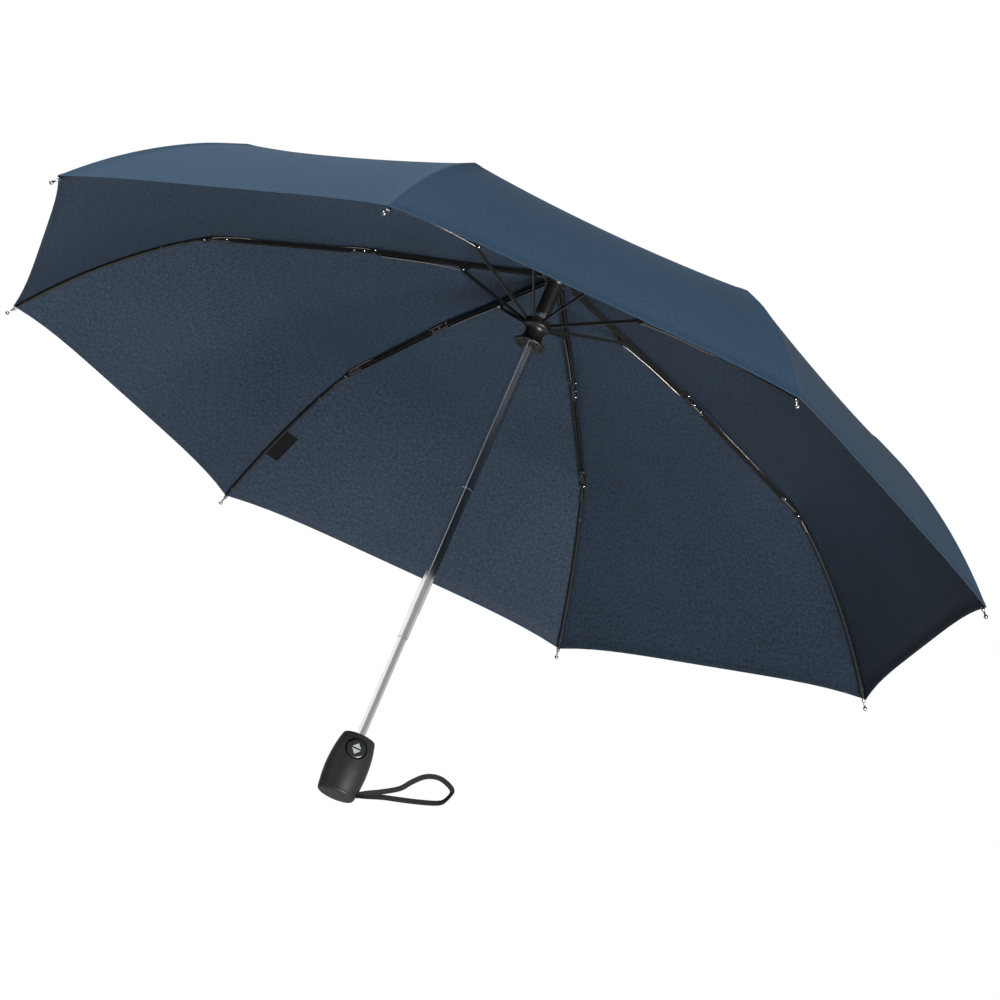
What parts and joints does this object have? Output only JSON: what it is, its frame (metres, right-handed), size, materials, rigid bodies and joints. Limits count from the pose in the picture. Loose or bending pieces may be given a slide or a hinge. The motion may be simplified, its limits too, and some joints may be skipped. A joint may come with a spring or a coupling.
{
  "type": "folding umbrella",
  "caption": "Folding umbrella with an eight-sided telescopic shaft, three-section folding ribs, pleating canopy and barrel handle with a release button.",
  "frame": {"origin": "centre of the handle's flat bottom face", "axes": "+Z along the shaft from the handle to the crown; the release button faces -Y"},
  "size_m": [0.9092, 0.9092, 0.5488],
  "materials": {
    "canopy_fabric": "navy pongee, matte with a faint sheen",
    "black_steel": "satin black enamel",
    "bright_steel": "bright plated",
    "tip_steel": "plated, slightly dull",
    "black_plastic": "moulded, satin",
    "soft_touch": "soft-touch coating",
    "button_plastic": "glossy",
    "webbing": "woven tape"
  },
  "bodies": {
    "handle": {"handle_shell": "soft_touch", "handle_end_cap": "soft_touch", "shaft_inner_tube": "bright_steel", "button_spring": "bright_steel"},
    "button": {"release_button": "button_plastic"},
    "strap": {"wrist_strap": "webbing"},
    "middle_tube": {"shaft_middle_tube": "bright_steel"},
    "crown": {"shaft_outer_tube": "bright_steel", "crown_notch": "black_plastic", "top_cap": "black_plastic", "canopy": "canopy_fabric"},
    "runner": {"runner": "black_plastic"},
    "inner_1": {"inner_rib_1": "black_steel"},
    "middle_1": {"middle_rib_1": "black_steel"},
    "outer_1": {"outer_rib_1": "black_steel", "rib_tip_1": "tip_steel"},
    "stretcher_arm_1": {"stretcher_1": "black_steel"},
    "wire_1": {"link_wire_1": "bright_steel"},
    "inner_2": {"inner_rib_2": "black_steel"},
    "middle_2": {"middle_rib_2": "black_steel"},
    "outer_2": {"outer_rib_2": "black_steel", "rib_tip_2": "tip_steel"},
    "stretcher_arm_2": {"stretcher_2": "black_steel"},
    "wire_2": {"link_wire_2": "bright_steel"},
    "inner_3": {"inner_rib_3": "black_steel"},
    "middle_3": {"middle_rib_3": "black_steel"},
    "outer_3": {"outer_rib_3": "black_steel", "rib_tip_3": "tip_steel"},
    "stretcher_arm_3": {"stretcher_3": "black_steel"},
    "wire_3": {"link_wire_3": "bright_steel"},
    "inner_4": {"inner_rib_4": "black_steel"},
    "middle_4": {"middle_rib_4": "black_steel"},
    "outer_4": {"outer_rib_4": "black_steel", "rib_tip_4": "tip_steel"},
    "stretcher_arm_4": {"stretcher_4": "black_steel"},
    "wire_4": {"link_wire_4": "bright_steel"},
    "inner_5": {"inner_rib_5": "black_steel"},
    "middle_5": {"middle_rib_5": "black_steel"},
    "outer_5": {"outer_rib_5": "black_steel", "rib_tip_5": "tip_steel"},
    "stretcher_arm_5": {"stretcher_5": "black_steel"},
    "wire_5": {"link_wire_5": "bright_steel"},
    "inner_6": {"inner_rib_6": "black_steel"},
    "middle_6": {"middle_rib_6": "black_steel"},
    "outer_6": {"outer_rib_6": "black_steel", "rib_tip_6": "tip_steel"},
    "stretcher_arm_6": {"stretcher_6": "black_steel"},
    "wire_6": {"link_wire_6": "bright_steel"},
    "inner_7": {"inner_rib_7": "black_steel"},
    "middle_7": {"middle_rib_7": "black_steel"},
    "outer_7": {"outer_rib_7": "black_steel", "rib_tip_7": "tip_steel"},
    "stretcher_arm_7": {"stretcher_7": "black_steel"},
    "wire_7": {"link_wire_7": "bright_steel"},
    "inner_8": {"inner_rib_8": "black_steel"},
    "middle_8": {"middle_rib_8": "black_steel"},
    "outer_8": {"outer_rib_8": "black_steel", "rib_tip_8": "tip_steel"},
    "stretcher_arm_8": {"stretcher_8": "black_steel"},
    "wire_8": {"link_wire_8": "bright_steel"}
  },
  "joints": [
    {"name": "shaft_slide", "type": "slide", "parent": "handle", "child": "middle_tube", "axis": [0, 0, 1], "range_m": [-0.098, 0]},
    {"name": "shaft_upper_slide", "type": "slide", "parent": "middle_tube", "child": "crown", "axis": [0, 0, 1], "range_m": [-0.154, 0]},
    {"name": "runner_slide", "type": "slide", "parent": "crown", "child": "runner", "axis": [0, 0, 1], "range_m": [-0.11202, 0], "deforming": ["canopy"]},
    {"name": "inner_rib_fold_1", "type": "hinge", "parent": "crown", "child": "inner_1", "pos_m": [0.01201, 0.00497, 0.5385], "axis": [0.3827, -0.9239, 0], "range_deg": [-77.62, 0]},
    {"name": "middle_rib_fold_1", "type": "hinge", "parent": "inner_1", "child": "middle_1", "pos_m": [0.16288, 0.06747, 0.5137], "axis": [0.3827, -0.9239, 0], "range_deg": [0, 182.95]},
    {"name": "outer_rib_fold_1", "type": "hinge", "parent": "middle_1", "child": "outer_1", "pos_m": [0.31255, 0.12946, 0.474], "axis": [0.3827, -0.9239, 0], "range_deg": [-151.51, 0]},
    {"name": "stretcher_fold_1", "type": "hinge", "parent": "runner", "child": "stretcher_arm_1", "pos_m": [0.00961, 0.00398, 0.4892], "axis": [0.3827, -0.9239, 0], "range_deg": [0, 67.58]},
    {"name": "link_wire_slide_1", "type": "slide", "parent": "inner_1", "child": "wire_1", "axis": [0.9115, 0.3775, -0.1633], "range_m": [0, 0.00301]},
    {"name": "inner_rib_fold_2", "type": "hinge", "parent": "crown", "child": "inner_2", "pos_m": [0.00497, 0.01201, 0.5385], "axis": [0.9239, -0.3827, 0], "range_deg": [-77.62, 0]},
    {"name": "middle_rib_fold_2", "type": "hinge", "parent": "inner_2", "child": "middle_2", "pos_m": [0.06747, 0.16288, 0.5137], "axis": [0.9239, -0.3827, 0], "range_deg": [0, 182.95]},
    {"name": "outer_rib_fold_2", "type": "hinge", "parent": "middle_2", "child": "outer_2", "pos_m": [0.12946, 0.31255, 0.474], "axis": [0.9239, -0.3827, 0], "range_deg": [-151.51, 0]},
    {"name": "stretcher_fold_2", "type": "hinge", "parent": "runner", "child": "stretcher_arm_2", "pos_m": [0.00398, 0.00961, 0.4892], "axis": [0.9239, -0.3827, 0], "range_deg": [0, 67.58]},
    {"name": "link_wire_slide_2", "type": "slide", "parent": "inner_2", "child": "wire_2", "axis": [0.3775, 0.9115, -0.1633], "range_m": [0, 0.00301]},
    {"name": "inner_rib_fold_3", "type": "hinge", "parent": "crown", "child": "inner_3", "pos_m": [-0.00497, 0.01201, 0.5385], "axis": [0.9239, 0.3827, 0], "range_deg": [-77.62, 0]},
    {"name": "middle_rib_fold_3", "type": "hinge", "parent": "inner_3", "child": "middle_3", "pos_m": [-0.06747, 0.16288, 0.5137], "axis": [0.9239, 0.3827, 0], "range_deg": [0, 182.95]},
    {"name": "outer_rib_fold_3", "type": "hinge", "parent": "middle_3", "child": "outer_3", "pos_m": [-0.12946, 0.31255, 0.474], "axis": [0.9239, 0.3827, 0], "range_deg": [-151.51, 0]},
    {"name": "stretcher_fold_3", "type": "hinge", "parent": "runner", "child": "stretcher_arm_3", "pos_m": [-0.00398, 0.00961, 0.4892], "axis": [0.9239, 0.3827, 0], "range_deg": [0, 67.58]},
    {"name": "link_wire_slide_3", "type": "slide", "parent": "inner_3", "child": "wire_3", "axis": [-0.3775, 0.9115, -0.1633], "range_m": [0, 0.00301]},
    {"name": "inner_rib_fold_4", "type": "hinge", "parent": "crown", "child": "inner_4", "pos_m": [-0.01201, 0.00497, 0.5385], "axis": [0.3827, 0.9239, 0], "range_deg": [-77.62, 0]},
    {"name": "middle_rib_fold_4", "type": "hinge", "parent": "inner_4", "child": "middle_4", "pos_m": [-0.16288, 0.06747, 0.5137], "axis": [0.3827, 0.9239, 0], "range_deg": [0, 182.95]},
    {"name": "outer_rib_fold_4", "type": "hinge", "parent": "middle_4", "child": "outer_4", "pos_m": [-0.31255, 0.12946, 0.474], "axis": [0.3827, 0.9239, 0], "range_deg": [-151.51, 0]},
    {"name": "stretcher_fold_4", "type": "hinge", "parent": "runner", "child": "stretcher_arm_4", "pos_m": [-0.00961, 0.00398, 0.4892], "axis": [0.3827, 0.9239, 0], "range_deg": [0, 67.58]},
    {"name": "link_wire_slide_4", "type": "slide", "parent": "inner_4", "child": "wire_4", "axis": [-0.9115, 0.3775, -0.1633], "range_m": [0, 0.00301]},
    {"name": "inner_rib_fold_5", "type": "hinge", "parent": "crown", "child": "inner_5", "pos_m": [-0.01201, -0.00497, 0.5385], "axis": [-0.3827, 0.9239, 0], "range_deg": [-77.62, 0]},
    {"name": "middle_rib_fold_5", "type": "hinge", "parent": "inner_5", "child": "middle_5", "pos_m": [-0.16288, -0.06747, 0.5137], "axis": [-0.3827, 0.9239, 0], "range_deg": [0, 182.95]},
    {"name": "outer_rib_fold_5", "type": "hinge", "parent": "middle_5", "child": "outer_5", "pos_m": [-0.31255, -0.12946, 0.474], "axis": [-0.3827, 0.9239, 0], "range_deg": [-151.51, 0]},
    {"name": "stretcher_fold_5", "type": "hinge", "parent": "runner", "child": "stretcher_arm_5", "pos_m": [-0.00961, -0.00398, 0.4892], "axis": [-0.3827, 0.9239, 0], "range_deg": [0, 67.58]},
    {"name": "link_wire_slide_5", "type": "slide", "parent": "inner_5", "child": "wire_5", "axis": [-0.9115, -0.3775, -0.1633], "range_m": [0, 0.00301]},
    {"name": "inner_rib_fold_6", "type": "hinge", "parent": "crown", "child": "inner_6", "pos_m": [-0.00497, -0.01201, 0.5385], "axis": [-0.9239, 0.3827, 0], "range_deg": [-77.62, 0]},
    {"name": "middle_rib_fold_6", "type": "hinge", "parent": "inner_6", "child": "middle_6", "pos_m": [-0.06747, -0.16288, 0.5137], "axis": [-0.9239, 0.3827, 0], "range_deg": [0, 182.95]},
    {"name": "outer_rib_fold_6", "type": "hinge", "parent": "middle_6", "child": "outer_6", "pos_m": [-0.12946, -0.31255, 0.474], "axis": [-0.9239, 0.3827, 0], "range_deg": [-151.51, 0]},
    {"name": "stretcher_fold_6", "type": "hinge", "parent": "runner", "child": "stretcher_arm_6", "pos_m": [-0.00398, -0.00961, 0.4892], "axis": [-0.9239, 0.3827, 0], "range_deg": [0, 67.58]},
    {"name": "link_wire_slide_6", "type": "slide", "parent": "inner_6", "child": "wire_6", "axis": [-0.3775, -0.9115, -0.1633], "range_m": [0, 0.00301]},
    {"name": "inner_rib_fold_7", "type": "hinge", "parent": "crown", "child": "inner_7", "pos_m": [0.00497, -0.01201, 0.5385], "axis": [-0.9239, -0.3827, 0], "range_deg": [-77.62, 0]},
    {"name": "middle_rib_fold_7", "type": "hinge", "parent": "inner_7", "child": "middle_7", "pos_m": [0.06747, -0.16288, 0.5137], "axis": [-0.9239, -0.3827, 0], "range_deg": [0, 182.95]},
    {"name": "outer_rib_fold_7", "type": "hinge", "parent": "middle_7", "child": "outer_7", "pos_m": [0.12946, -0.31255, 0.474], "axis": [-0.9239, -0.3827, 0], "range_deg": [-151.51, 0]},
    {"name": "stretcher_fold_7", "type": "hinge", "parent": "runner", "child": "stretcher_arm_7", "pos_m": [0.00398, -0.00961, 0.4892], "axis": [-0.9239, -0.3827, 0], "range_deg": [0, 67.58]},
    {"name": "link_wire_slide_7", "type": "slide", "parent": "inner_7", "child": "wire_7", "axis": [0.3775, -0.9115, -0.1633], "range_m": [0, 0.00301]},
    {"name": "inner_rib_fold_8", "type": "hinge", "parent": "crown", "child": "inner_8", "pos_m": [0.01201, -0.00497, 0.5385], "axis": [-0.3827, -0.9239, 0], "range_deg": [-77.62, 0]},
    {"name": "middle_rib_fold_8", "type": "hinge", "parent": "inner_8", "child": "middle_8", "pos_m": [0.16288, -0.06747, 0.5137], "axis": [-0.3827, -0.9239, 0], "range_deg": [0, 182.95]},
    {"name": "outer_rib_fold_8", "type": "hinge", "parent": "middle_8", "child": "outer_8", "pos_m": [0.31255, -0.12946, 0.474], "axis": [-0.3827, -0.9239, 0], "range_deg": [-151.51, 0]},
    {"name": "stretcher_fold_8", "type": "hinge", "parent": "runner", "child": "stretcher_arm_8", "pos_m": [0.00961, -0.00398, 0.4892], "axis": [-0.3827, -0.9239, 0], "range_deg": [0, 67.58]},
    {"name": "link_wire_slide_8", "type": "slide", "parent": "inner_8", "child": "wire_8", "axis": [0.9115, -0.3775, -0.1633], "range_m": [0, 0.00301]},
    {"name": "button_press", "type": "slide", "parent": "handle", "child": "button", "axis": [0, 1, 0], "range_m": [0, 0.0025], "stiffness_N_per_m": 600, "deforming": ["button_spring"]},
    {"name": "strap_swing", "type": "hinge", "parent": "handle", "child": "strap", "pos_m": [0.01911, -0.00438, 0.0079], "axis": [-0.2233, -0.9748, 0], "range_deg": [-100, 0]}
  ],
  "couplings": [
    {"joint": "shaft_upper_slide", "follows": "shaft_slide", "ratio": 1.5714},
    {"joint": "inner_rib_fold_1", "follows": "runner_slide", "rad_per_m": 12.091},
    {"joint": "middle_rib_fold_1", "follows": "runner_slide", "rad_per_m": -28.501},
    {"joint": "outer_rib_fold_1", "follows": "runner_slide", "rad_per_m": 23.603},
    {"joint": "stretcher_fold_1", "follows": "runner_slide", "rad_per_m": -10.526},
    {"joint": "link_wire_slide_1", "follows": "runner_slide", "ratio": -0.026781},
    {"joint": "inner_rib_fold_2", "follows": "runner_slide", "rad_per_m": 12.091},
    {"joint": "middle_rib_fold_2", "follows": "runner_slide", "rad_per_m": -28.501},
    {"joint": "outer_rib_fold_2", "follows": "runner_slide", "rad_per_m": 23.603},
    {"joint": "stretcher_fold_2", "follows": "runner_slide", "rad_per_m": -10.526},
    {"joint": "link_wire_slide_2", "follows": "runner_slide", "ratio": -0.026781},
    {"joint": "inner_rib_fold_3", "follows": "runner_slide", "rad_per_m": 12.091},
    {"joint": "middle_rib_fold_3", "follows": "runner_slide", "rad_per_m": -28.501},
    {"joint": "outer_rib_fold_3", "follows": "runner_slide", "rad_per_m": 23.603},
    {"joint": "stretcher_fold_3", "follows": "runner_slide", "rad_per_m": -10.526},
    {"joint": "link_wire_slide_3", "follows": "runner_slide", "ratio": -0.026781},
    {"joint": "inner_rib_fold_4", "follows": "runner_slide", "rad_per_m": 12.091},
    {"joint": "middle_rib_fold_4", "follows": "runner_slide", "rad_per_m": -28.501},
    {"joint": "outer_rib_fold_4", "follows": "runner_slide", "rad_per_m": 23.603},
    {"joint": "stretcher_fold_4", "follows": "runner_slide", "rad_per_m": -10.526},
    {"joint": "link_wire_slide_4", "follows": "runner_slide", "ratio": -0.026781},
    {"joint": "inner_rib_fold_5", "follows": "runner_slide", "rad_per_m": 12.091},
    {"joint": "middle_rib_fold_5", "follows": "runner_slide", "rad_per_m": -28.501},
    {"joint": "outer_rib_fold_5", "follows": "runner_slide", "rad_per_m": 23.603},
    {"joint": "stretcher_fold_5", "follows": "runner_slide", "rad_per_m": -10.526},
    {"joint": "link_wire_slide_5", "follows": "runner_slide", "ratio": -0.026781},
    {"joint": "inner_rib_fold_6", "follows": "runner_slide", "rad_per_m": 12.091},
    {"joint": "middle_rib_fold_6", "follows": "runner_slide", "rad_per_m": -28.501},
    {"joint": "outer_rib_fold_6", "follows": "runner_slide", "rad_per_m": 23.603},
    {"joint": "stretcher_fold_6", "follows": "runner_slide", "rad_per_m": -10.526},
    {"joint": "link_wire_slide_6", "follows": "runner_slide", "ratio": -0.026781},
    {"joint": "inner_rib_fold_7", "follows": "runner_slide", "rad_per_m": 12.091},
    {"joint": "middle_rib_fold_7", "follows": "runner_slide", "rad_per_m": -28.501},
    {"joint": "outer_rib_fold_7", "follows": "runner_slide", "rad_per_m": 23.603},
    {"joint": "stretcher_fold_7", "follows": "runner_slide", "rad_per_m": -10.526},
    {"joint": "link_wire_slide_7", "follows": "runner_slide", "ratio": -0.026781},
    {"joint": "inner_rib_fold_8", "follows": "runner_slide", "rad_per_m": 12.091},
    {"joint": "middle_rib_fold_8", "follows": "runner_slide", "rad_per_m": -28.501},
    {"joint": "outer_rib_fold_8", "follows": "runner_slide", "rad_per_m": 23.603},
    {"joint": "stretcher_fold_8", "follows": "runner_slide", "rad_per_m": -10.526},
    {"joint": "link_wire_slide_8", "follows": "runner_slide", "ratio": -0.026781}
  ]
}
